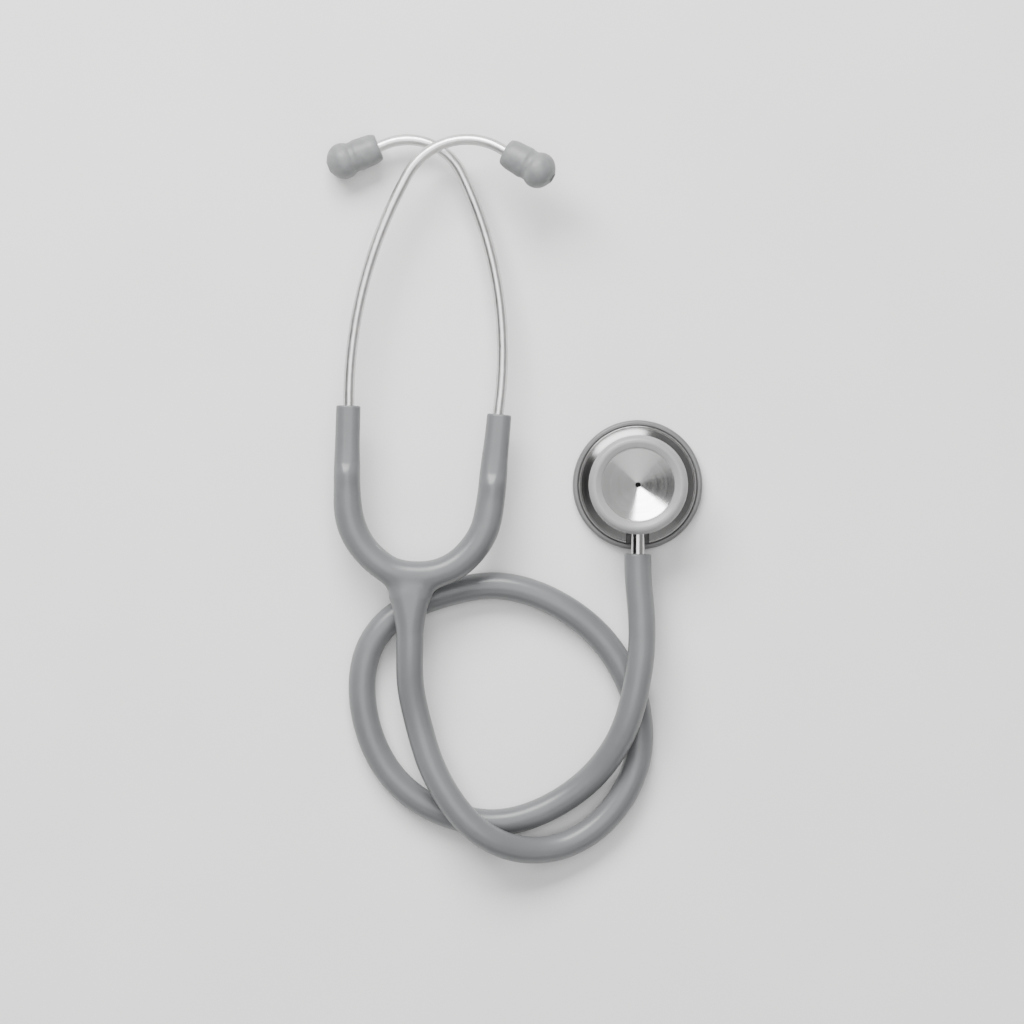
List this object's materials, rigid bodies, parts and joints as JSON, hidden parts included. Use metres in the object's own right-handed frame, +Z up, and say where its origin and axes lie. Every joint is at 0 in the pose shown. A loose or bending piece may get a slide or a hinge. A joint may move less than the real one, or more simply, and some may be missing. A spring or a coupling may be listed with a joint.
{
  "type": "stethoscope",
  "caption": "Acoustic stethoscope with a two-sided steel chestpiece, a long loosely looped tube, a sprung yoke, crossing steel ear tubes and soft eartips.",
  "frame": {"origin": "centre of the diaphragm-side rim face, on the surface that the stethoscope lies on", "axes": "+Z up, away from the surface, along the chestpiece's axis towards the bell; the stem and the tube leave the chestpiece along -Y; the ear tubes point along +Y; +X to the right seen from above"},
  "size_m": [0.139, 0.2697, 0.0302],
  "materials": {
    "turned_steel": "turned, bright",
    "stem_steel": "polished",
    "polished_steel": "polished",
    "hard_steel": "polished",
    "spring_steel": "satin",
    "dark_steel": "blackened",
    "chill_ring_rubber": "matte",
    "rim_rubber": "matte",
    "diaphragm_film": "satin",
    "seal_rubber": "matte",
    "tube_vinyl": "satin",
    "eartip_silicone": "matte",
    "insert_plastic": "satin"
  },
  "bodies": {
    "root": {"yoke": "tube_vinyl", "leaf_spring": "spring_steel", "acoustic_tube": "tube_vinyl", "chestpiece_stem": "stem_steel", "stem_seal": "seal_rubber"},
    "head": {"chestpiece_body": "turned_steel", "bell_ring": "chill_ring_rubber", "detent_ball": "hard_steel", "detent_spring": "spring_steel", "detent_set_screw": "dark_steel"},
    "diaphragm": {"diaphragm": "diaphragm_film"},
    "diaphragm_rim": {"diaphragm_rim": "rim_rubber"},
    "left_headset": {"left_arm": "tube_vinyl", "left_spring_clamp": "spring_steel", "left_ear_tube": "polished_steel"},
    "right_headset": {"right_arm": "tube_vinyl", "right_spring_clamp": "spring_steel", "right_ear_tube": "polished_steel"},
    "left_eartip": {"left_eartip": "eartip_silicone", "left_eartip_insert": "insert_plastic"},
    "right_eartip": {"right_eartip": "eartip_silicone", "right_eartip_insert": "insert_plastic"}
  },
  "joints": [
    {"name": "head_turn", "type": "hinge", "parent": "root", "child": "head", "pos_m": [0, 0, 0.01225], "axis": [0, 1, 0], "continuous": true},
    {"name": "rim_unscrew", "type": "slide", "parent": "head", "child": "diaphragm", "axis": [0, 0, -1], "range_m": [0, 0.003]},
    {"name": "rim_turn", "type": "hinge", "parent": "diaphragm", "child": "diaphragm_rim", "pos_m": [0, 0, 0], "axis": [0, 0, -1], "range_deg": [0, 1090]},
    {"name": "left_arm_open", "type": "hinge", "parent": "root", "child": "left_headset", "pos_m": [-0.105, -0.0165, 0.016], "axis": [0, 0, 1], "range_deg": [0, 40], "stiffness_Nm_per_rad": 1},
    {"name": "right_arm_open", "type": "hinge", "parent": "root", "child": "right_headset", "pos_m": [-0.057, -0.0165, 0.016], "axis": [0, 0, -1], "range_deg": [0, 40], "stiffness_Nm_per_rad": 1},
    {"name": "left_eartip_pull", "type": "slide", "parent": "left_headset", "child": "left_eartip", "axis": [0.8518, -0.4944, 0.1735], "range_m": [0, 0.013]},
    {"name": "right_eartip_pull", "type": "slide", "parent": "right_headset", "child": "right_eartip", "axis": [-0.9279, -0.3714, -0.0329], "range_m": [0, 0.013]}
  ],
  "couplings": [
    {"joint": "rim_turn", "follows": "rim_unscrew", "rad_per_m": 6283.2}
  ]
}
